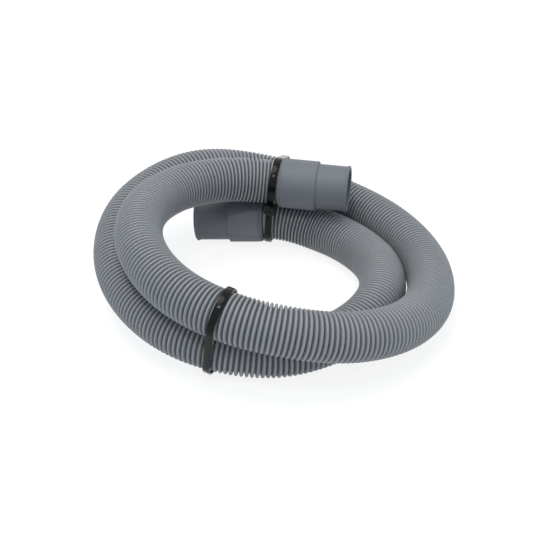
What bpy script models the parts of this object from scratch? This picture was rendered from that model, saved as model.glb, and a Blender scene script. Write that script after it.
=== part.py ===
"""Washing machine drain hose, coiled in two turns and held by two cable ties. Metres, +Z up."""

import math

import bpy
from mathutils import Matrix, Vector

# The corrugated hose
RIB_DIAMETER = 0.032
RIB_HEIGHT = 0.0022
HOSE_WALL = 0.0013
RIB_PITCH = 0.0067
HOSE_SIDES = 12
BORE_STEP = 0.015

# The moulded sleeve on each end: a wide socket for the hose, then a narrower spout
SLEEVE_LENGTH = 0.0493
UPPER_SOCKET = 0.0267
LOWER_SOCKET = 0.0242
SOCKET_WALL = 0.0015
SHOULDER = 0.0017
SPOUT_BORE = 0.028
SPOUT_WALL = 0.0021
BEAD_HEIGHT = 0.0007
BEAD_LENGTH = 0.0028
EDGE_ROUND = 0.0008
SLEEVE_SIDES = 32

# The cable ties
STRAP_WIDTH = 0.0048
STRAP_THICKNESS = 0.0012
HEAD_WIDTH = 0.0079
HEAD_LENGTH = 0.0076
HEAD_HEIGHT = 0.0054
HEAD_ROUND = 0.0006
TAIL_LENGTH = 0.0045
TIE_SLACK = 0.0008
TIE_LEAN = math.radians(5)
FRONT_TIE_SWING = math.radians(3.4)
REAR_HEAD_RISE = 0.0045
ARC_STEP = math.radians(15)

# Room between pieces that touch
GAP = 0.0003

# The coil seen from above, counted from the rear and growing to the left:
# every 30 degrees the radius and the height of the hose's middle, in coil units.
# The first and last pair only aim the straight ends.
COIL_UNIT = 0.001
STATION = math.radians(30)
FIRST_STATION = -1
COIL = [
    (67.5, 54),
    (70, 54), (74.5, 58.5), (81, 62.5), (87.5, 64.5), (95, 62), (104, 55.5),
    (111, 46.5), (115, 33.5), (112, 22.5), (106.5, 19.5), (104, 21.5), (107.5, 25.5),
    (111.5, 37), (111.5, 49.5), (111, 46.5), (106.5, 38), (102, 29), (98.5, 22),
    (92.5, 16.5), (86, 18), (79.5, 19.5), (74, 18.5), (71.5, 16.5), (73.5, 16.5),
    (77, 20.5),
    (86, 17),
]
UPPER_END = math.radians(-4.9)
LOWER_END = math.radians(725.7)
ROUTE_STEP = 0.002

# Where the front tie crosses the upper pass, as an angle round the coil
FRONT_TIE = math.radians(163.2)

# Moves the whole coil so that its outline is centred on the origin
CENTRE = Vector((0.1, -0.8, -0.3)) * COIL_UNIT


def clear_scene():
    for thing in list(bpy.data.objects):
        bpy.data.objects.remove(thing, do_unlink=True)


def make_collection(name):
    collection = bpy.data.collections.new(name)
    bpy.context.scene.collection.children.link(collection)
    return collection


def make_material(name, colour, roughness, metallic=0.0):
    material = bpy.data.materials.new(name)
    material.use_nodes = True
    shader = material.node_tree.nodes["Principled BSDF"]
    shader.inputs["Base Color"].default_value = (*colour, 1)
    shader.inputs["Roughness"].default_value = roughness
    shader.inputs["Metallic"].default_value = metallic
    return material


def between(values, place):
    """A smooth value between the stations, by a Catmull-Rom curve."""
    index = min(max(int(math.floor(place)), 0), len(values) - 2)
    t = place - index
    before = values[max(index - 1, 0)]
    start = values[index]
    end = values[index + 1]
    after = values[min(index + 2, len(values) - 1)]
    pull_start = (end - before) / 2
    pull_end = (after - start) / 2
    swing = 2 * (start - end) + pull_start + pull_end
    lift = 3 * (end - start) - 2 * pull_start - pull_end
    return start + t * (pull_start + t * (lift + t * swing))


def coil_point(angle):
    place = angle / STATION - FIRST_STATION
    radius = between([pair[0] for pair in COIL], place) * COIL_UNIT
    height = between([pair[1] for pair in COIL], place) * COIL_UNIT
    return Vector((-radius * math.sin(angle), radius * math.cos(angle), height)) + CENTRE


def coil_direction(angle):
    small = math.radians(0.5)
    return (coil_point(angle + small) - coil_point(angle - small)).normalized()


def inserted(socket):
    """How far the hose reaches into a sleeve, up to the shoulder in its socket."""
    return socket - SHOULDER - GAP


def hose_route():
    """Points along the hose's middle: a straight end in each sleeve and the coil between them."""
    start = coil_point(UPPER_END)
    start_way = coil_direction(UPPER_END)
    end = coil_point(LOWER_END)
    end_way = coil_direction(LOWER_END)
    in_upper = inserted(UPPER_SOCKET)
    in_lower = inserted(LOWER_SOCKET)
    points = [start - start_way * in_upper, start - start_way * in_upper / 2]
    angle = UPPER_END
    while angle < LOWER_END:
        points.append(coil_point(angle))
        pace = (coil_point(angle + 0.01) - coil_point(angle)).length / 0.01
        angle += ROUTE_STEP / pace
    points += [end, end + end_way * in_lower / 2, end + end_way * in_lower]
    return points


def make_guide(points, collection):
    curve = bpy.data.curves.new("hose_route", "CURVE")
    curve.dimensions = "3D"
    spline = curve.splines.new("POLY")
    spline.points.add(len(points) - 1)
    for control, point in zip(spline.points, points):
        control.co = (*point, 1)
    guide = bpy.data.objects.new("hose_route", curve)
    guide.hide_render = True
    guide.display_type = "WIRE"
    collection.objects.link(guide)
    return guide


def turned_object(name, outline, sides, material, collection):
    """A closed outline of (radius, height) pairs, outer side first and downwards, turned about Z."""
    mesh = bpy.data.meshes.new(name)
    count = len(outline)
    edges = [(index, (index + 1) % count) for index in range(count)]
    mesh.from_pydata([(radius, 0, height) for radius, height in outline], edges, [])
    thing = bpy.data.objects.new(name, mesh)
    thing.data.materials.append(material)
    collection.objects.link(thing)
    screw = thing.modifiers.new("turn", "SCREW")
    screw.steps = sides
    screw.render_steps = sides
    screw.use_smooth_shade = True
    screw.use_merge_vertices = True
    screw.merge_threshold = 0.00001
    return thing


def hose_outline(length):
    """Ribs down the outside, then the smooth bore up the inside."""
    crest = RIB_DIAMETER / 2
    groove = crest - RIB_HEIGHT
    bore = groove - HOSE_WALL
    ribs = int(length / RIB_PITCH)
    pitch = length / ribs
    outline = [(groove, length)]
    for rib in range(ribs):
        top = length - rib * pitch
        outline.append((crest, top - pitch / 2))
        outline.append((groove, top - pitch))
    steps = round(length / BORE_STEP)
    for step in range(steps + 1):
        outline.append((bore, length * step / steps))
    return outline


def route_length(points):
    return sum((b - a).length for a, b in zip(points, points[1:]))


def make_hose(material, collection, helpers):
    points = hose_route()
    guide = make_guide(points, helpers)
    hose = turned_object("corrugated_hose", hose_outline(route_length(points)), HOSE_SIDES, material, collection)
    bend = hose.modifiers.new("bend", "CURVE")
    bend.object = guide
    bend.deform_axis = "POS_Z"
    return hose


def sleeve_outline(socket_length):
    """Section of one sleeve, with Z = 0 at the end that the hose enters."""
    socket = RIB_DIAMETER / 2 + GAP
    outer = socket + SOCKET_WALL
    bore = SPOUT_BORE / 2
    spout = bore + SPOUT_WALL
    bead = spout + BEAD_HEIGHT
    depth = socket_length - SHOULDER
    soft = min(EDGE_ROUND, SOCKET_WALL * 0.6)
    return [
        (bead - soft, SLEEVE_LENGTH),
        (bead - soft * 0.3, SLEEVE_LENGTH - soft * 0.3),
        (bead, SLEEVE_LENGTH - soft),
        (bead, SLEEVE_LENGTH - BEAD_LENGTH + soft),
        (spout, SLEEVE_LENGTH - BEAD_LENGTH),
        (spout, socket_length + soft),
        (outer - soft, socket_length),
        (outer, socket_length - soft),
        (outer, soft),
        (outer - soft * 0.3, soft * 0.3),
        (outer - soft, 0),
        (socket + soft * 0.4, 0),
        (socket, soft * 0.4),
        (socket, depth),
        (bore, depth),
        (bore, SLEEVE_LENGTH - soft * 0.6),
        (bore + soft * 0.6, SLEEVE_LENGTH),
    ]


def make_sleeve(name, place, way, socket_length, material, collection):
    sleeve = turned_object(name, sleeve_outline(socket_length), SLEEVE_SIDES, material, collection)
    sleeve.location = place
    sleeve.rotation_mode = "QUATERNION"
    sleeve.rotation_quaternion = way.to_track_quat("Z", "Y")
    return sleeve


def hull_of_circles(centres, radius):
    """Outline of a band pulled tight round equal circles, whose centres run anticlockwise."""
    outline = []
    count = len(centres)
    for index, centre in enumerate(centres):
        before = centre - centres[index - 1]
        after = centres[(index + 1) % count] - centre
        start = math.atan2(before.y, before.x) - math.pi / 2
        sweep = (math.atan2(after.y, after.x) - math.pi / 2 - start) % (2 * math.pi)
        steps = max(1, round(sweep / ARC_STEP))
        for step in range(steps + 1):
            angle = start + sweep * step / steps
            outline.append(centre + Vector((math.cos(angle), math.sin(angle))) * radius)
    return outline


def crossing(place, normal, near):
    """Where the hose's middle crosses a plane, close to an angle round the coil."""
    angle = near
    for _ in range(30):
        slope = coil_direction(angle).dot(normal)
        miss = (place - coil_point(angle)).dot(normal)
        pace = (coil_point(angle + 0.01) - coil_point(angle)).length / 0.01
        angle += miss / slope / pace
    return coil_point(angle)


def leaned(way, lean):
    """A direction tipped down by an angle."""
    side = Vector((0, 0, 1)).cross(way).normalized()
    return way * math.cos(lean) - way.cross(side) * math.sin(lean)


def plane_frame(place, normal):
    """Matrix whose Z is the plane's normal and whose Y is as upright as the plane allows."""
    side = Vector((0, 0, 1)).cross(normal).normalized()
    upright = normal.cross(side)
    return Matrix.Translation(place) @ Matrix((side, upright, normal)).transposed().to_4x4()


def strap_loop(name, outline_out, outline_in, frame, material, collection):
    curve = bpy.data.curves.new(name, "CURVE")
    curve.dimensions = "2D"
    curve.fill_mode = "BOTH"
    curve.extrude = STRAP_WIDTH / 2
    for outline in (outline_out, outline_in):
        spline = curve.splines.new("POLY")
        spline.points.add(len(outline) - 1)
        for control, point in zip(spline.points, outline):
            control.co = (point.x, point.y, 0, 1)
        spline.use_cyclic_u = True
    drawn = bpy.data.objects.new(name + "_drawn", curve)
    collection.objects.link(drawn)
    bpy.context.view_layer.update()
    graph = bpy.context.evaluated_depsgraph_get()
    mesh = bpy.data.meshes.new_from_object(drawn.evaluated_get(graph))
    bpy.data.objects.remove(drawn, do_unlink=True)
    mesh.name = name
    mesh.materials.clear()
    mesh.materials.append(material)
    strap = bpy.data.objects.new(name, mesh)
    strap.matrix_world = frame
    collection.objects.link(strap)
    weld = strap.modifiers.new("weld", "WELD")
    weld.merge_threshold = 0.00001
    return strap


def add_head(strap, frame, seat, along, helpers):
    """The locking head on a straight run of the strap, with the cut tail beyond it."""
    outward = Vector((along.y, -along.x))
    centre = seat + outward * (HEAD_HEIGHT / 2 - STRAP_THICKNESS / 2)
    turn = Matrix.Rotation(math.atan2(along.y, along.x), 4, "Z")
    for name, size, middle in (
        ("head", (HEAD_LENGTH, HEAD_HEIGHT, HEAD_WIDTH), centre),
        ("tail", (TAIL_LENGTH * 2, STRAP_THICKNESS, STRAP_WIDTH * 0.98),
         seat + along * (HEAD_LENGTH / 2) + outward * STRAP_THICKNESS * 1.2),
    ):
        bpy.ops.mesh.primitive_cube_add(size=1)
        block = bpy.context.object
        block.name = strap.name + "_" + name
        block.data.transform(Matrix.Diagonal((*size, 1)))
        block.matrix_world = frame @ Matrix.Translation((middle.x, middle.y, 0)) @ turn
        block.hide_render = True
        block.display_type = "WIRE"
        for owner in list(block.users_collection):
            owner.objects.unlink(block)
        helpers.objects.link(block)
        if name == "head":
            bevel = block.modifiers.new("soft edges", "BEVEL")
            bevel.width = HEAD_ROUND
            bevel.segments = 2
        join = strap.modifiers.new(name, "BOOLEAN")
        join.operation = "UNION"
        join.object = block


def make_tie(name, place, normal, nears, head_between, rise, material, collection, helpers):
    """A tie pulled round the hose where it crosses a plane near the given angles.

    Its head sits on the straight run that goes from one of these passes to another,
    short of the run's middle by the rise.
    """
    frame = plane_frame(place, normal)
    flat = frame.inverted()
    centres = []
    for near in nears:
        point = flat @ crossing(place, normal, near)
        centres.append(Vector((point.x, point.y)))
    start, end = (centres[index] for index in head_between)
    middle = sum(centres, Vector((0, 0))) / len(centres)
    centres.sort(key=lambda centre: math.atan2(centre.y - middle.y, centre.x - middle.x))
    inner = RIB_DIAMETER / 2 + TIE_SLACK
    outline_in = hull_of_circles(centres, inner)
    outline_out = hull_of_circles(centres, inner + STRAP_THICKNESS)
    strap = strap_loop(name, outline_out, outline_in, frame, material, collection)
    along = (end - start).normalized()
    outward = Vector((along.y, -along.x))
    seat = (start + end) / 2 - along * rise + outward * (inner + STRAP_THICKNESS / 2)
    add_head(strap, frame, seat, along, helpers)
    return strap


def main():
    clear_scene()
    collection = make_collection("drain_hose")
    helpers = make_collection("helpers")
    hose_grey = make_material("hose_grey", (0.30, 0.32, 0.34), 0.5)
    sleeve_grey = make_material("sleeve_grey", (0.21, 0.225, 0.24), 0.55)
    tie_black = make_material("tie_black", (0.015, 0.014, 0.014), 0.4)

    make_hose(hose_grey, collection, helpers)
    upper = coil_point(UPPER_END)
    upper_way = -coil_direction(UPPER_END)
    lower = coil_point(LOWER_END)
    lower_way = coil_direction(LOWER_END)
    make_sleeve("upper_end_sleeve", upper, upper_way, UPPER_SOCKET, sleeve_grey, collection)
    make_sleeve("lower_end_sleeve", lower, lower_way, LOWER_SOCKET, sleeve_grey, collection)

    front = coil_point(FRONT_TIE)
    front_way = Matrix.Rotation(FRONT_TIE_SWING, 3, "Z") @ coil_direction(FRONT_TIE)
    front_way = leaned(front_way, TIE_LEAN)
    front_passes = [FRONT_TIE, FRONT_TIE + 2 * math.pi]
    make_tie("front_cable_tie", front, front_way, front_passes, (1, 0), 0, tie_black, collection, helpers)

    reach = RIB_DIAMETER / 2 + TIE_SLACK + STRAP_THICKNESS
    rear = upper - upper_way * (STRAP_WIDTH / 2 + GAP + reach * math.sin(TIE_LEAN))
    rear_way = leaned(upper_way, TIE_LEAN)
    rear_passes = [UPPER_END, UPPER_END + 2 * math.pi, UPPER_END + 4 * math.pi]
    make_tie("rear_cable_tie", rear, rear_way, rear_passes, (0, 2), REAR_HEAD_RISE,
             tie_black, collection, helpers)


main()
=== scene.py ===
"""Coiled washing machine drain hose: ribbed hose, moulded end sleeves and cable ties."""

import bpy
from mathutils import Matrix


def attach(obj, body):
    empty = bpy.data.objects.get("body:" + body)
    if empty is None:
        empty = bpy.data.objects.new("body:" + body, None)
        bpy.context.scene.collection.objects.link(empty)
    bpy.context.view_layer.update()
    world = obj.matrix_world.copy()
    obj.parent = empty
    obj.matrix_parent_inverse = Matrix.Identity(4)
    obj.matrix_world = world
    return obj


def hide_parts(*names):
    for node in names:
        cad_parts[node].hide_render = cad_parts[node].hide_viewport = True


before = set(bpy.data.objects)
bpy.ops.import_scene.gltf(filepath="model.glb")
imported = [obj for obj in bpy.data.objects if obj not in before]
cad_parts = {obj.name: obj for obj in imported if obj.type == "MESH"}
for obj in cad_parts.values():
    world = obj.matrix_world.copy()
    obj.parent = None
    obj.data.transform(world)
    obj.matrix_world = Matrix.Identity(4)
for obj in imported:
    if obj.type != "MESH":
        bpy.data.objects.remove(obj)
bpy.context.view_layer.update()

import math

import bmesh
import bpy
from mathutils import Matrix, Vector

bl_info = {
    "name": "Coiled Drain Hose",
    "version": (1, 0, 0),
    "blender": (4, 5, 0),
    "location": "View3D > Sidebar > Drain Hose",
    "description": "Builds a coiled and tied corrugated drain hose with a sleeve on each end",
    "category": "Add Mesh",
}

# The hose's middle seen from above, counted from the rear and growing to the left:
# every 30 degrees its distance from the coil's centre and its height, in metres.
# The first and last pair only aim the straight ends.
STATION = math.radians(30)
COIL = [
    (0.0675, 0.054),
    (0.07, 0.054), (0.0745, 0.0585), (0.081, 0.0625), (0.0875, 0.0645),
    (0.095, 0.062), (0.104, 0.0555), (0.111, 0.0465), (0.115, 0.0335),
    (0.112, 0.0225), (0.1065, 0.0195), (0.104, 0.0215), (0.1075, 0.0255),
    (0.1115, 0.037), (0.1115, 0.0495), (0.111, 0.0465), (0.1065, 0.038),
    (0.102, 0.029), (0.0985, 0.022), (0.0925, 0.0165), (0.086, 0.018),
    (0.0795, 0.0195), (0.074, 0.0185), (0.0715, 0.0165), (0.0735, 0.0165),
    (0.077, 0.0205),
    (0.086, 0.017),
]
CENTRE = Vector((0.0001, -0.0008, -0.0003))

# Where the sleeves and the front tie sit round the coil, and how the ties lean and turn
UPPER_END = math.radians(-4.9)
LOWER_END = math.radians(725.7)
FRONT_TIE = math.radians(163.2)
TIE_LEAN = math.radians(5)
FRONT_TIE_SWING = math.radians(3.4)

# Room between the hose, the sleeves and the rear tie where they meet
GAP = 0.0003

# The skin of the hose: the share of a groove that is flat, how round the crests are,
# how far the rings gather towards the steep sides, and the rings in the whole bore
FLAT_GROOVE = 0.14
CREST_ROUNDNESS = 2.2
RING_GATHER = 0.07
BORE_STEPS = 120

# The camera, fitted to the picture: place, the way it looks, the way up, and its lens in mm
CAMERA_PLACE = Vector((0.0053, -0.755, 0.4741))
CAMERA_AHEAD = Vector((-0.00454, 0.8554, -0.51796))
CAMERA_UP = Vector((0.00749, 0.51797, 0.85536))
CAMERA_LENS = 83.61

# Each lamp: its place, the width and depth of its ellipse, and the setting with its power
LAMPS = (
    ("key_light", (-0.2, 0.05, 1.4), (0.9, 0.9), "key_power"),
    ("fill_light", (1.1, -0.6, 0.5), (0.9, 0.9), "fill_power"),
    ("glint_light", (-0.16, -0.62, 1.1), (0.15, 0.06), "glint_power"),
)
LAMP_COLOUR = (1, 0.97, 0.91)
LAMP_AIM = Vector((0, 0, 0.04))

# The sky lights the object; the white is only what the camera sees
SKY_COLOUR = (0.72, 0.85, 1, 1)
SKY_STRENGTH = 0.48
WHITE = (1, 1, 1, 1)
FLOOR_SIZE = 12
FLOOR_ROUGHNESS = 0.9
FLOOR_GLOW = 1.22
FLOOR_GLOW_SHARE = 0.7


def length_setting(name, description, default):
    return bpy.props.FloatProperty(
        name=name, description=description, default=default, min=0.0001, unit="LENGTH", precision=5
    )


def colour_setting(name, description, default):
    return bpy.props.FloatVectorProperty(
        name=name, description=description, default=default, min=0, max=1, size=3, subtype="COLOR"
    )


class HoseSettings(bpy.types.PropertyGroup):
    rib_diameter: length_setting("Rib Diameter", "Hose diameter over the ribs", 0.032)
    groove_diameter: length_setting("Groove Diameter", "Hose diameter between the ribs", 0.0258)
    bore_diameter: length_setting("Bore Diameter", "Clear diameter inside the hose", 0.0244)
    rib_pitch: length_setting("Rib Pitch", "Distance from one rib to the next", 0.003)
    sides: bpy.props.IntProperty(
        name="Sides", description="Faces round the hose", default=26, min=8, max=64
    )
    rib_steps: bpy.props.IntProperty(
        name="Steps per Rib", description="Faces along each rib", default=8, min=4, max=16
    )
    colour: colour_setting("Hose Colour", "Colour of the ribs' crests", (0.346, 0.357, 0.37))
    # The groove colour is painted shade: darker than the crests to stand in for the shade between the
    # ribs
    shade: colour_setting("Groove Colour", "Colour between the ribs", (0.222, 0.232, 0.248))


class SleeveSettings(bpy.types.PropertyGroup):
    length: length_setting("Length", "Length of a sleeve from end to end", 0.0493)
    upper_socket: length_setting("Upper Socket", "Length of the wide part, upper sleeve", 0.0267)
    lower_socket: length_setting("Lower Socket", "Length of the wide part, lower sleeve", 0.0242)
    socket_diameter: length_setting("Socket Diameter", "Outer diameter of the wide part", 0.0356)
    shoulder: length_setting("Shoulder", "Thickness of the step inside that stops the hose", 0.0017)
    spout_diameter: length_setting("Spout Diameter", "Outer diameter of the narrow part", 0.0322)
    bead_diameter: length_setting("Bead Diameter", "Diameter over the lip at the mouth", 0.0336)
    spout_bore: length_setting("Spout Bore", "Diameter inside the narrow part", 0.028)
    colour: colour_setting("Sleeve Colour", "Colour of the moulded sleeves", (0.19, 0.201, 0.224))


class TieSettings(bpy.types.PropertyGroup):
    width: length_setting("Strap Width", "Width of a cable tie's strap", 0.0048)
    thickness: length_setting("Strap Thickness", "Thickness of a cable tie's strap", 0.0012)
    slack: length_setting("Slack", "Room between a strap and the ribs it holds", 0.0008)
    head_width: length_setting("Head Width", "Size of the lock across the strap", 0.0079)
    head_length: length_setting("Head Length", "Size of the lock along the strap", 0.0087)
    head_height: length_setting("Head Height", "How far the lock stands off the hose", 0.0054)
    tail: length_setting("Tail", "Length of the cut end beyond the lock", 0.0045)
    rise: length_setting("Rear Lock Rise", "How far the rear lock sits above its run's middle", 0.0067)
    colour: colour_setting("Tie Colour", "Colour of the cable ties", (0.006, 0.006, 0.0068))


class StageSettings(bpy.types.PropertyGroup):
    floor_colour: colour_setting("Floor Colour", "Colour of the floor", (0.9, 0.9, 0.9))
    key_power: bpy.props.FloatProperty(
        name="Key Light", description="Power of the main light", default=8.5, min=0, unit="POWER"
    )
    fill_power: bpy.props.FloatProperty(
        name="Fill Light", description="Power of the second light", default=1.6, min=0, unit="POWER"
    )
    glint_power: bpy.props.FloatProperty(
        name="Glint Light", description="Power of the small light that glints on the ties",
        default=1.8, min=0, unit="POWER"
    )


def between(values, place):
    """A smooth value between the stations, by a Catmull-Rom curve."""
    index = min(max(int(math.floor(place)), 0), len(values) - 2)
    t = place - index
    before = values[max(index - 1, 0)]
    start = values[index]
    end = values[index + 1]
    after = values[min(index + 2, len(values) - 1)]
    pull_start = (end - before) / 2
    pull_end = (after - start) / 2
    swing = 2 * (start - end) + pull_start + pull_end
    lift = 3 * (end - start) - 2 * pull_start - pull_end
    return start + t * (pull_start + t * (lift + t * swing))


def coil_point(angle):
    """The hose's middle at an angle round the coil."""
    place = angle / STATION + 1
    radius = between([pair[0] for pair in COIL], place)
    height = between([pair[1] for pair in COIL], place)
    return Vector((-radius * math.sin(angle), radius * math.cos(angle), height)) + CENTRE


def coil_direction(angle):
    small = math.radians(0.5)
    return (coil_point(angle + small) - coil_point(angle - small)).normalized()


def coil_pace(angle):
    """Length of hose for each radian round the coil, at an angle."""
    small = 0.01
    return (coil_point(angle + small) - coil_point(angle)).length / small


def hose_route(sleeves, step=0.002):
    """The hose's middle from end to end, with a straight stretch in each sleeve."""
    in_upper = sleeves.upper_socket - sleeves.shoulder - GAP
    in_lower = sleeves.lower_socket - sleeves.shoulder - GAP
    start = coil_point(UPPER_END)
    start_way = coil_direction(UPPER_END)
    end = coil_point(LOWER_END)
    end_way = coil_direction(LOWER_END)
    points = [start - start_way * in_upper * part for part in (1, 0.75, 0.5, 0.25)]
    angle = UPPER_END
    while angle < LOWER_END:
        points.append(coil_point(angle))
        angle += step / coil_pace(angle)
    points += [end + end_way * in_lower * part for part in (0, 0.25, 0.5, 0.75, 1)]
    return points


class Graph:
    """Adds nodes to a tree and joins them."""

    def __init__(self, tree):
        self.tree = tree

    def add(self, kind, *inputs, **settings):
        node = self.tree.nodes.new(kind)
        for key, value in settings.items():
            setattr(node, key, value)
        for place, value in enumerate(inputs):
            self.feed(node, place, value)
        return node

    def feed(self, node, place, value):
        """Joins a socket, or sets a value, to the input at a place or of a name."""
        if hasattr(value, "is_output"):
            self.tree.links.new(value, node.inputs[place])
        else:
            node.inputs[place].default_value = value

    def math(self, operation, *inputs, clamp=False):
        return self.add("ShaderNodeMath", *inputs, operation=operation, use_clamp=clamp).outputs[0]

    def vector(self, operation, *inputs):
        return self.add("ShaderNodeVectorMath", *inputs, operation=operation).outputs[0]

    def scaled(self, vector, factor):
        node = self.add("ShaderNodeVectorMath", vector, operation="SCALE")
        self.feed(node, "Scale", factor)
        return node.outputs[0]


def ribbed_hose_tree():
    """Geometry Nodes: a ribbed skin along a curve, closed through the bore."""
    tree = bpy.data.node_groups.new("ribbed_hose", "GeometryNodeTree")
    face = tree.interface
    face.new_socket("Geometry", in_out="INPUT", socket_type="NodeSocketGeometry")
    for name, default in (
        ("Rib Diameter", 0.032), ("Groove Diameter", 0.0258),
        ("Bore Diameter", 0.0244), ("Rib Pitch", 0.003),
    ):
        face.new_socket(name, in_out="INPUT", socket_type="NodeSocketFloat").default_value = default
    for name, default in (("Sides", 26), ("Steps per Rib", 8), ("Bore Steps", BORE_STEPS)):
        face.new_socket(name, in_out="INPUT", socket_type="NodeSocketInt").default_value = default
    face.new_socket("Material", in_out="INPUT", socket_type="NodeSocketMaterial")
    face.new_socket("Geometry", in_out="OUTPUT", socket_type="NodeSocketGeometry")
    g = Graph(tree)
    given = tree.nodes.new("NodeGroupInput").outputs
    route = given["Geometry"]
    length = g.add("GeometryNodeCurveLength", route).outputs["Length"]
    ribs = g.math("ROUND", g.math("DIVIDE", length, given["Rib Pitch"]))
    pitch = g.math("DIVIDE", length, ribs)
    skin_steps = g.math("MULTIPLY", ribs, given["Steps per Rib"])
    bore_steps = given["Bore Steps"]
    all_steps = g.math("ADD", g.math("ADD", skin_steps, bore_steps), 2)

    tube = g.add("GeometryNodeMeshCylinder", fill_type="NONE")
    g.feed(tube, "Vertices", given["Sides"])
    g.feed(tube, "Side Segments", all_steps)
    g.feed(tube, "Radius", 1.0)
    g.feed(tube, "Depth", 1.0)
    spot = g.add("ShaderNodeSeparateXYZ", g.add("GeometryNodeInputPosition").outputs[0]).outputs
    ring = g.math("ROUND", g.math("MULTIPLY", g.math("ADD", spot[2], 0.5), all_steps))

    # Rings run along the ribs first, then back through the bore to where they began
    out = g.math("DIVIDE", ring, skin_steps, clamp=True)
    back_ring = g.math("SUBTRACT", g.math("SUBTRACT", ring, skin_steps), 1)
    back = g.math("DIVIDE", back_ring, bore_steps, clamp=True)
    even = g.math("MULTIPLY", g.math("SUBTRACT", out, back), length)
    before_bore = g.math("LESS_THAN", ring, g.math("ADD", skin_steps, 0.5))
    after_bore = g.math("GREATER_THAN", ring, g.math("SUBTRACT", all_steps, 0.5))
    outside = g.math("MAXIMUM", before_bore, after_bore)

    # Rings gather towards the grooves, where a rib's side is steepest
    turns = g.math("MULTIPLY", g.math("DIVIDE", even, pitch), 2 * math.pi)
    gather = g.math("MULTIPLY", pitch, RING_GATHER)
    along = g.math("SUBTRACT", even, g.math("MULTIPLY", g.math("SINE", turns), gather))

    # Height of the rib at this ring, from 0 in the flat groove to 1 on the rounded crest
    wave = g.math("PINGPONG", g.math("MULTIPLY", g.math("DIVIDE", along, pitch), 2), 1)
    below = g.add("ShaderNodeMapRange", wave, FLAT_GROOVE, 1.0, 1.0, 0.0).outputs[0]
    rib = g.math("SQRT", g.math("SUBTRACT", 1, g.math("POWER", below, CREST_ROUNDNESS)))
    groove = g.math("MULTIPLY", given["Groove Diameter"], 0.5)
    crest = g.math("MULTIPLY", given["Rib Diameter"], 0.5)
    bore = g.math("MULTIPLY", given["Bore Diameter"], 0.5)
    height = g.math("MULTIPLY", rib, g.math("SUBTRACT", crest, groove))
    skin = g.math("ADD", groove, height)
    radius = g.math("ADD", bore, g.math("MULTIPLY", outside, g.math("SUBTRACT", skin, bore)))

    # Each ring takes its place round the route, at right angles to it
    sample = g.add("GeometryNodeSampleCurve", mode="LENGTH", use_all_curves=True)
    g.feed(sample, "Curves", route)
    g.feed(sample, "Length", along)
    middle = sample.outputs["Position"]
    ahead = sample.outputs["Tangent"]
    side = sample.outputs["Normal"]
    up = g.vector("CROSS_PRODUCT", ahead, side)
    arm = g.vector("ADD", g.scaled(side, spot[0]), g.scaled(up, spot[1]))
    place = g.vector("ADD", middle, g.scaled(arm, radius))

    # The rib's height stays on the points for the material, which paints shade into the grooves by it;
    # then the end rings are closed
    marked = g.add("GeometryNodeStoreNamedAttribute", data_type="FLOAT", domain="POINT")
    g.feed(marked, "Geometry", tube.outputs["Mesh"])
    g.feed(marked, "Name", "rib")
    g.feed(marked, "Value", g.math("MULTIPLY", rib, outside))
    bent = g.add("GeometryNodeSetPosition", marked.outputs[0])
    g.feed(bent, "Position", place)
    closed = g.add("GeometryNodeMergeByDistance", bent.outputs[0])
    g.feed(closed, "Distance", 0.000002)
    smooth = g.add("GeometryNodeSetShadeSmooth", closed.outputs[0])
    real = g.add("GeometryNodeRealizeInstances", smooth.outputs[0])
    painted = g.add("GeometryNodeSetMaterial", real.outputs[0])
    g.feed(painted, "Material", given["Material"])
    g.add("NodeGroupOutput", painted.outputs[0])
    return tree


def set_inputs(modifier, values):
    """Sets a modifier's inputs by the identifier that belongs to each name."""
    for item in modifier.node_group.interface.items_tree:
        if item.item_type == "SOCKET" and item.in_out == "INPUT" and item.name in values:
            modifier[item.identifier] = values[item.name]


def plain_mesh(thing, name):
    """The evaluated object as a mesh object of its own; the drawn one goes."""
    bpy.context.view_layer.update()
    graph = bpy.context.evaluated_depsgraph_get()
    mesh = bpy.data.meshes.new_from_object(thing.evaluated_get(graph))
    mesh.name = name
    bpy.data.objects.remove(thing, do_unlink=True)
    made = bpy.data.objects.new(name, mesh)
    bpy.context.scene.collection.objects.link(made)
    return made


def turned_piece(name, outline, sides, place, way, material):
    """A closed outline of (radius, height) pairs turned about an axis that starts at place."""
    mesh = bpy.data.meshes.new(name)
    count = len(outline)
    edges = [(index, (index + 1) % count) for index in range(count)]
    mesh.from_pydata([(radius, 0, height) for radius, height in outline], edges, [])
    drawn = bpy.data.objects.new(name + "_outline", mesh)
    bpy.context.scene.collection.objects.link(drawn)
    screw = drawn.modifiers.new("turn", "SCREW")
    screw.steps = sides
    screw.render_steps = sides
    screw.use_merge_vertices = True
    screw.merge_threshold = 0.00001
    made = plain_mesh(drawn, name)
    turn = way.to_track_quat("Z", "Y").to_matrix().to_4x4()
    made.data.transform(Matrix.Translation(place) @ turn)
    made.data.materials.clear()
    made.data.materials.append(material)
    made.data.shade_smooth()
    made.data.set_sharp_from_angle(angle=math.radians(50))
    return made


def corner(centre, radius, start, end, steps=4):
    """Points of a rounded corner of an outline, from one angle to another in degrees."""
    points = []
    for step in range(steps + 1):
        angle = math.radians(start + (end - start) * step / steps)
        points.append((centre[0] + radius * math.cos(angle), centre[1] + radius * math.sin(angle)))
    return points


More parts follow.
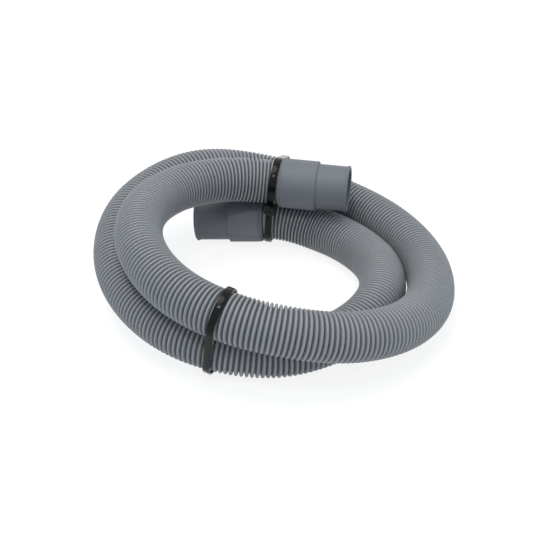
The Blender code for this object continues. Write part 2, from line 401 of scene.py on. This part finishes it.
def sleeve_outline(sizes, step, hose):
    """Section of one sleeve, from the mouth down the outside and back up the bore."""
    big = sizes.socket_diameter / 2
    small = sizes.spout_diameter / 2
    bead = sizes.bead_diameter / 2
    bore = sizes.spout_bore / 2
    socket = hose.rib_diameter / 2 + GAP
    total = sizes.length
    depth = step - sizes.shoulder
    lip, edge, rim = 0.0011, 0.0006, 0.0009
    hair, dip, chamfer = 0.0001, 0.0005, 0.0003

    # The bead at the mouth, which runs out on the spout
    points = corner((bead - lip, total - lip), lip, 90, -60, 7)
    points += [(small + hair, total - 0.0024), (small, total - 0.0027)]

    # The sharp hollow where the spout meets the shoulder, and the shoulder's round edge
    points += [(small, step + edge), (small + hair, step + hair), (small + 0.0004, step)]
    points += corner((big - edge, step - edge), edge, 90, 0)

    # A fine dip near the open end of the socket, and its rounded rim
    points += [(big, 0.0022), (big - hair, 0.0018), (big - dip, 0.0015), (big - dip, 0.0013)]
    points += corner((big - 0.0008, edge), edge, 50, -90, 5)

    # Inside: the socket that takes the hose, the step that stops it, and the bore
    points += [(socket + chamfer, 0), (socket, chamfer), (socket, depth), (bore, depth)]
    points += [(bore, total - 0.0012)]
    points += corner((bore + rim, total - rim), rim, 180, 90)[1:]
    return points


def hull_of_circles(centres, radius, arc_step):
    """Outline and outward directions of a band pulled round equal circles, anticlockwise."""
    outline = []
    count = len(centres)
    for index, centre in enumerate(centres):
        before = centre - centres[index - 1]
        after = centres[(index + 1) % count] - centre
        start = math.atan2(before.y, before.x) - math.pi / 2
        sweep = (math.atan2(after.y, after.x) - math.pi / 2 - start) % (2 * math.pi)
        steps = max(1, round(sweep / arc_step))
        for step in range(steps + 1):
            angle = start + sweep * step / steps
            outward = Vector((math.cos(angle), math.sin(angle)))
            outline.append((centre + outward * radius, outward))
    return outline


def crossing(place, normal, near):
    """Where the hose's middle crosses a plane, close to an angle round the coil."""
    angle = near
    for _ in range(30):
        slope = coil_direction(angle).dot(normal)
        miss = (place - coil_point(angle)).dot(normal)
        angle += miss / slope / coil_pace(angle)
    return coil_point(angle)


def leaned(way, lean):
    """A direction tipped down by an angle."""
    side = Vector((0, 0, 1)).cross(way).normalized()
    return way * math.cos(lean) - way.cross(side) * math.sin(lean)


def plane_frame(place, normal):
    """A frame with its Z along the normal and its X level."""
    side = Vector((0, 0, 1)).cross(normal).normalized()
    upright = normal.cross(side)
    return Matrix.Translation(place) @ Matrix((side, upright, normal)).transposed().to_4x4()


def strap_section(width, thickness, edge):
    """Points round a strap's rounded section, as (across, outward) pairs."""
    half = width / 2
    points = []
    for centre, start in (
        ((half - edge, thickness - edge), 0), ((-half + edge, thickness - edge), 90),
        ((-half + edge, edge), 180), ((half - edge, edge), 270),
    ):
        points += corner(centre, edge, start, start + 90, 3)
    return points


def add_strap(bm, outline, section):
    """A closed band: the section carried round the outline."""
    rings = []
    for point, outward in outline:
        rings.append([
            bm.verts.new((point.x + outward.x * off, point.y + outward.y * off, across))
            for across, off in section
        ])
    count = len(section)
    for ring, following in zip(rings, rings[1:] + rings[:1]):
        for index in range(count):
            other = (index + 1) % count
            bm.faces.new((ring[index], following[index], following[other], ring[other]))


def add_block(bm, size, place, bevel, segments=3):
    """A box with rounded edges, placed by a matrix."""
    corners = bmesh.ops.create_cube(bm, size=1)["verts"]
    bmesh.ops.transform(bm, matrix=Matrix.Diagonal((*size, 1)), verts=corners)
    edges = list({edge for vert in corners for edge in vert.link_edges})
    rounded = bmesh.ops.bevel(
        bm, geom=edges, offset=bevel, segments=segments, profile=0.5, affect="EDGES"
    )
    verts = {vert for face in rounded["faces"] for vert in face.verts}
    verts |= {vert for vert in corners if vert.is_valid}
    bmesh.ops.transform(bm, matrix=place, verts=list(verts))


def add_lock(bm, ties, spot_at):
    """A tie's lock and cut end; spot_at gives a place along the strap and off it."""
    length, height, width = ties.head_length, ties.head_height, ties.head_width
    inset = 0.0004
    foot_share, frame_share, ridge_share = 0.66, 0.4, 0.7

    # A foot, and a taller frame with a ridge where the strap goes in
    foot = height * foot_share
    foot_size = (length - inset, foot, width - inset)
    add_block(bm, foot_size, spot_at(0, foot / 2), 0.0005)
    frame_length = length * frame_share
    frame_place = (frame_length - length) / 2
    frame_size = (frame_length, height, width)
    add_block(bm, frame_size, spot_at(frame_place, height / 2), 0.0006)
    ridge_size = (0.0011, 0.0008, width * ridge_share)
    add_block(bm, ridge_size, spot_at(frame_place, height), 0.0003)

    # The cut end comes out of the frame and slopes down over the foot
    half = length / 2
    tail = half + ties.tail
    high = foot + ties.thickness * 0.55
    low = ties.thickness * 2.4
    tilt = math.atan2(high - low, tail)
    tail_size = (tail, ties.thickness * 0.9, ties.width * 0.96)
    add_block(bm, tail_size, spot_at(tail / 2, (high + low) / 2, tilt), 0.00025)

    # The teeth across it, as far as it shows
    teeth = 5
    tooth_size = (ties.tail / teeth * 0.5, 0.0004, ties.width * 0.62)
    for tooth in range(teeth):
        share = (half + ties.tail * (tooth + 0.6) / (teeth + 0.4)) / tail
        off = high + (low - high) * share + ties.thickness * 0.5
        add_block(bm, tooth_size, spot_at(tail * share, off, tilt), 0.0001, 1)


def build_tie(name, place, normal, nears, head_between, rise, ties, hose, material):
    """A cable tie round the hose where it crosses a plane near the given angles."""
    spot = plane_frame(place, normal)
    flat = spot.inverted()
    centres = []
    for near in nears:
        point = flat @ crossing(place, normal, near)
        centres.append(Vector((point.x, point.y)))
    start, end = (centres[index] for index in head_between)
    middle = sum(centres, Vector((0, 0))) / len(centres)
    centres.sort(key=lambda centre: math.atan2(centre.y - middle.y, centre.x - middle.x))
    inner = hose.rib_diameter / 2 + ties.slack
    outline = hull_of_circles(centres, inner, math.radians(5))
    bm = bmesh.new()
    add_strap(bm, outline, strap_section(ties.width, ties.thickness, 0.0003))

    # The lock sits on the straight run between two of the passes
    along = (end - start).normalized()
    outward = Vector((along.y, -along.x))
    seat = (start + end) / 2 - along * rise + outward * inner
    turn = Matrix.Rotation(math.atan2(along.y, along.x), 4, "Z")

    def spot_at(ahead, off, tilt=0.0):
        point = seat + along * ahead + outward * off
        return Matrix.Translation((point.x, point.y, 0)) @ turn @ Matrix.Rotation(tilt, 4, "Z")

    add_lock(bm, ties, spot_at)
    mesh = bpy.data.meshes.new(name)
    bmesh.ops.recalc_face_normals(bm, faces=bm.faces)
    bm.to_mesh(mesh)
    bm.free()
    mesh.transform(spot)
    mesh.materials.append(material)
    mesh.shade_smooth()
    mesh.set_sharp_from_angle(angle=math.radians(40))
    tie = bpy.data.objects.new(name, mesh)
    bpy.context.scene.collection.objects.link(tie)
    return tie


def new_material(name):
    material = bpy.data.materials.new(name)
    material.use_nodes = True
    return material, Graph(material.node_tree), material.node_tree.nodes["Principled BSDF"]


def mix_colours(g, share, first, second):
    node = g.add("ShaderNodeMix", data_type="RGBA", blend_type="MIX")
    for name, value in (("Factor", share), ("A", first), ("B", second)):
        place = [i for i, s in enumerate(node.inputs) if s.name == name and s.enabled][0]
        g.feed(node, place, value)
    return [s for s in node.outputs if s.enabled][0]


def noise(g, scale, detail):
    node = g.add("ShaderNodeTexNoise", g.add("ShaderNodeTexCoord").outputs["Object"])
    g.feed(node, "Scale", scale)
    g.feed(node, "Detail", detail)
    return node.outputs["Fac"]


def mottled(g, pattern, colour, dark, light):
    """A colour that wanders between a darker and a lighter shade of itself."""
    shades = [(*(min(1, channel * factor) for channel in colour), 1) for factor in (dark, light)]
    return mix_colours(g, pattern, *shades)


def uneven_gloss(g, shader, pattern, smoothest, roughest):
    """Roughness that wanders between two values with the middle range of a pattern."""
    rough = g.add("ShaderNodeMapRange", pattern, 0.3, 0.7, smoothest, roughest).outputs[0]
    g.feed(shader, "Roughness", rough)


def grain(g, shader, scale, detail, depth):
    """A fine uneven surface, as deep as the given distance."""
    node = g.add("ShaderNodeBump")
    g.feed(node, "Strength", 1.0)
    g.feed(node, "Distance", depth)
    g.feed(node, "Height", noise(g, scale, detail))
    g.feed(shader, "Normal", node.outputs[0])


def hose_plastic(settings):
    """Satin extruded plastic: lighter crests, with grooves and rib flanks painted darker as shade,
    faint clouds.
    """
    material, g, shader = new_material("hose_plastic")
    crest_only = 5.0
    rib = g.add("ShaderNodeAttribute", attribute_name="rib").outputs["Fac"]
    cloud = noise(g, 60, 4.0)
    crest = mottled(g, cloud, settings.colour, 0.93, 1.08)
    groove = mottled(g, cloud, settings.shade, 0.92, 1.06)
    # Painted shade: the colour darkens from the crest down the rib's flanks into the groove, standing
    # in for the shade in the hollows between the ribs
    painted_shade_factor = g.math("POWER", rib, crest_only)
    g.feed(shader, "Base Color", mix_colours(g, painted_shade_factor, groove, crest))
    uneven_gloss(g, shader, noise(g, 900, 2.0), 0.44, 0.56)
    grain(g, shader, 1400, 2.0, 0.00004)
    return material


def sleeve_rubber(settings):
    """Matt moulded sleeve with a fine grain."""
    material, g, shader = new_material("sleeve_rubber")
    g.feed(shader, "Specular IOR Level", 0.4)
    g.feed(shader, "Base Color", mottled(g, noise(g, 45, 4.0), settings.colour, 0.93, 1.07))
    uneven_gloss(g, shader, noise(g, 700, 2.0), 0.5, 0.62)
    grain(g, shader, 1100, 3.0, 0.00005)
    return material


def tie_nylon(settings):
    """Black moulded nylon with a soft gloss."""
    material, g, shader = new_material("tie_nylon")
    cloud = noise(g, 250, 2.0)
    g.feed(shader, "Specular IOR Level", 0.15)
    g.feed(shader, "Base Color", mottled(g, cloud, settings.colour, 0.8, 1.3))
    uneven_gloss(g, shader, cloud, 0.13, 0.22)
    grain(g, shader, 1500, 2.0, 0.00003)
    return material


def in_view(g):
    """1 where the camera sees a surface, mirrored or through glass too, and 0 for its light."""
    seen = g.add("ShaderNodeLightPath").outputs
    mirrored = g.math("MAXIMUM", seen["Is Glossy Ray"], seen["Is Transmission Ray"])
    return g.math("MAXIMUM", seen["Is Camera Ray"], mirrored)


class DRAINHOSE_OT_stage(bpy.types.Operator):
    """Add the pale floor, the soft lights and the camera"""

    bl_idname = "drain_hose.stage"
    bl_label = "Stage"

    def execute(self, context):
        settings = context.scene.drain_stage
        scene = context.scene
        scene.view_settings.view_transform = "Standard"
        bpy.ops.mesh.primitive_plane_add(size=FLOOR_SIZE)
        floor = context.object
        floor.name = "floor"
        paper, g, shader = new_material("floor_paper")
        g.feed(shader, "Base Color", (*settings.floor_colour, 1))
        g.feed(shader, "Roughness", FLOOR_ROUGHNESS)
        g.feed(shader, "Specular IOR Level", 0.1)
        glow = g.add("ShaderNodeEmission", WHITE, FLOOR_GLOW)
        share = g.math("MULTIPLY", in_view(g), FLOOR_GLOW_SHARE)
        mixed = g.add("ShaderNodeMixShader", share, shader.outputs[0], glow.outputs[0])
        g.feed(g.tree.nodes["Material Output"], "Surface", mixed.outputs[0])
        floor.data.materials.append(paper)

        world = bpy.data.worlds.new("studio")
        world.use_nodes = True
        scene.world = world
        g = Graph(world.node_tree)
        sky = g.tree.nodes["Background"]
        g.feed(sky, "Color", SKY_COLOUR)
        g.feed(sky, "Strength", SKY_STRENGTH)
        backdrop = g.add("ShaderNodeBackground", WHITE, 1.0)
        mixed = g.add("ShaderNodeMixShader", in_view(g), sky.outputs[0], backdrop.outputs[0])
        g.feed(g.tree.nodes["World Output"], "Surface", mixed.outputs[0])

        for name, place, size, power in LAMPS:
            lamp = bpy.data.lights.new(name, "AREA")
            lamp.shape = "ELLIPSE"
            lamp.size, lamp.size_y = size
            lamp.energy = getattr(settings, power)
            lamp.color = LAMP_COLOUR
            thing = bpy.data.objects.new(name, lamp)
            thing.location = place
            aim = (LAMP_AIM - Vector(place)).to_track_quat("-Z", "Y")
            thing.rotation_euler = aim.to_euler()
            scene.collection.objects.link(thing)

        data = bpy.data.cameras.new("camera")
        data.sensor_width = 36
        data.lens = CAMERA_LENS
        data.clip_start = 0.01
        data.clip_end = 50
        camera = bpy.data.objects.new("camera", data)
        across = CAMERA_AHEAD.cross(CAMERA_UP)
        turn = Matrix((across, CAMERA_UP, -CAMERA_AHEAD)).transposed().to_4x4()
        camera.matrix_world = Matrix.Translation(CAMERA_PLACE) @ turn
        scene.collection.objects.link(camera)
        scene.camera = camera
        return {"FINISHED"}


class DRAINHOSE_OT_hose(bpy.types.Operator):
    """Add the ribbed hose along its coil"""

    bl_idname = "drain_hose.hose"
    bl_label = "Corrugated Hose"

    def execute(self, context):
        settings = context.scene.drain_hose
        points = hose_route(context.scene.drain_sleeves)
        curve = bpy.data.curves.new("hose_route", "CURVE")
        curve.dimensions = "3D"
        spline = curve.splines.new("POLY")
        spline.points.add(len(points) - 1)
        for control, point in zip(spline.points, points):
            control.co = (*point, 1)
        drawn = bpy.data.objects.new("hose_route", curve)
        context.scene.collection.objects.link(drawn)
        ribbing = drawn.modifiers.new("ribs", "NODES")
        ribbing.node_group = ribbed_hose_tree()
        set_inputs(ribbing, {
            "Rib Diameter": settings.rib_diameter,
            "Groove Diameter": settings.groove_diameter,
            "Bore Diameter": settings.bore_diameter,
            "Rib Pitch": settings.rib_pitch,
            "Sides": settings.sides,
            "Steps per Rib": settings.rib_steps,
            "Bore Steps": BORE_STEPS,
            "Material": hose_plastic(settings),
        })
        hose = plain_mesh(drawn, "ribbed_hose")
        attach(hose, "root")
        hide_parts("corrugated_hose")
        return {"FINISHED"}


class DRAINHOSE_OT_sleeves(bpy.types.Operator):
    """Add the stepped sleeve moulded on each end of the hose"""

    bl_idname = "drain_hose.sleeves"
    bl_label = "End Sleeves"

    def execute(self, context):
        sizes = context.scene.drain_sleeves
        material = sleeve_rubber(sizes)
        sides = 96
        for name, node, angle, turn, step in (
            ("upper_sleeve", "upper_end_sleeve", UPPER_END, -1, sizes.upper_socket),
            ("lower_sleeve", "lower_end_sleeve", LOWER_END, 1, sizes.lower_socket),
        ):
            outline = sleeve_outline(sizes, step, context.scene.drain_hose)
            way = coil_direction(angle) * turn
            sleeve = turned_piece(name, outline, sides, coil_point(angle), way, material)
            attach(sleeve, "root")
            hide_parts(node)
        return {"FINISHED"}


class DRAINHOSE_OT_ties(bpy.types.Operator):
    """Add the cable ties that hold the coil together"""

    bl_idname = "drain_hose.ties"
    bl_label = "Cable Ties"

    def execute(self, context):
        ties = context.scene.drain_ties
        hose = context.scene.drain_hose
        material = tie_nylon(ties)
        turn = 2 * math.pi
        upper = coil_point(UPPER_END)
        upper_way = -coil_direction(UPPER_END)
        reach = hose.rib_diameter / 2 + ties.slack + ties.thickness
        rear = upper - upper_way * (ties.width / 2 + GAP + reach * math.sin(TIE_LEAN))
        rear_way = leaned(upper_way, TIE_LEAN)
        front = coil_point(FRONT_TIE)
        front_way = Matrix.Rotation(FRONT_TIE_SWING, 3, "Z") @ coil_direction(FRONT_TIE)
        front_way = leaned(front_way, TIE_LEAN)
        rear_passes = [UPPER_END, UPPER_END + turn, UPPER_END + 2 * turn]
        front_passes = [FRONT_TIE, FRONT_TIE + turn]
        for name, node, place, way, passes, head_between, rise in (
            ("front_tie", "front_cable_tie", front, front_way, front_passes, (1, 0), 0),
            ("rear_tie", "rear_cable_tie", rear, rear_way, rear_passes, (0, 2), ties.rise),
        ):
            tie = build_tie(name, place, way, passes, head_between, rise, ties, hose, material)
            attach(tie, "root")
            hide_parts(node)
        return {"FINISHED"}


class DRAINHOSE_OT_declare(bpy.types.Operator):
    bl_idname = "drain_hose.declare"
    bl_label = "Declare Hose"

    def execute(self, context):
        points = hose_route(context.scene.drain_sleeves, 0.004)
        return {"FINISHED"}


class VIEW3D_PT_drain_hose(bpy.types.Panel):
    bl_label = "Drain Hose"
    bl_space_type = "VIEW_3D"
    bl_region_type = "UI"
    bl_category = "Drain Hose"

    def draw(self, context):
        for heading, group, operator in (
            ("Stage", "drain_stage", "drain_hose.stage"),
            ("Hose", "drain_hose", "drain_hose.hose"),
            ("Sleeves", "drain_sleeves", "drain_hose.sleeves"),
            ("Ties", "drain_ties", "drain_hose.ties"),
        ):
            box = self.layout.box()
            box.label(text=heading)
            settings = getattr(context.scene, group)
            for key in settings.__annotations__:
                box.prop(settings, key)
            box.operator(operator)
        self.layout.operator("drain_hose.declare")


SETTINGS = {
    "drain_stage": StageSettings,
    "drain_hose": HoseSettings,
    "drain_sleeves": SleeveSettings,
    "drain_ties": TieSettings,
}
CLASSES = (
    StageSettings, HoseSettings, SleeveSettings, TieSettings,
    DRAINHOSE_OT_stage, DRAINHOSE_OT_hose, DRAINHOSE_OT_sleeves, DRAINHOSE_OT_ties,
    DRAINHOSE_OT_declare, VIEW3D_PT_drain_hose,
)


def register():
    for cls in CLASSES:
        bpy.utils.register_class(cls)
    for name, cls in SETTINGS.items():
        setattr(bpy.types.Scene, name, bpy.props.PointerProperty(type=cls))


def unregister():
    for name in SETTINGS:
        delattr(bpy.types.Scene, name)
    for cls in reversed(CLASSES):
        bpy.utils.unregister_class(cls)


def main():
    register()
    bpy.ops.drain_hose.stage()
    bpy.ops.drain_hose.hose()
    bpy.ops.drain_hose.sleeves()
    bpy.ops.drain_hose.ties()
    bpy.ops.drain_hose.declare()


if __name__ == "__main__":
    main()
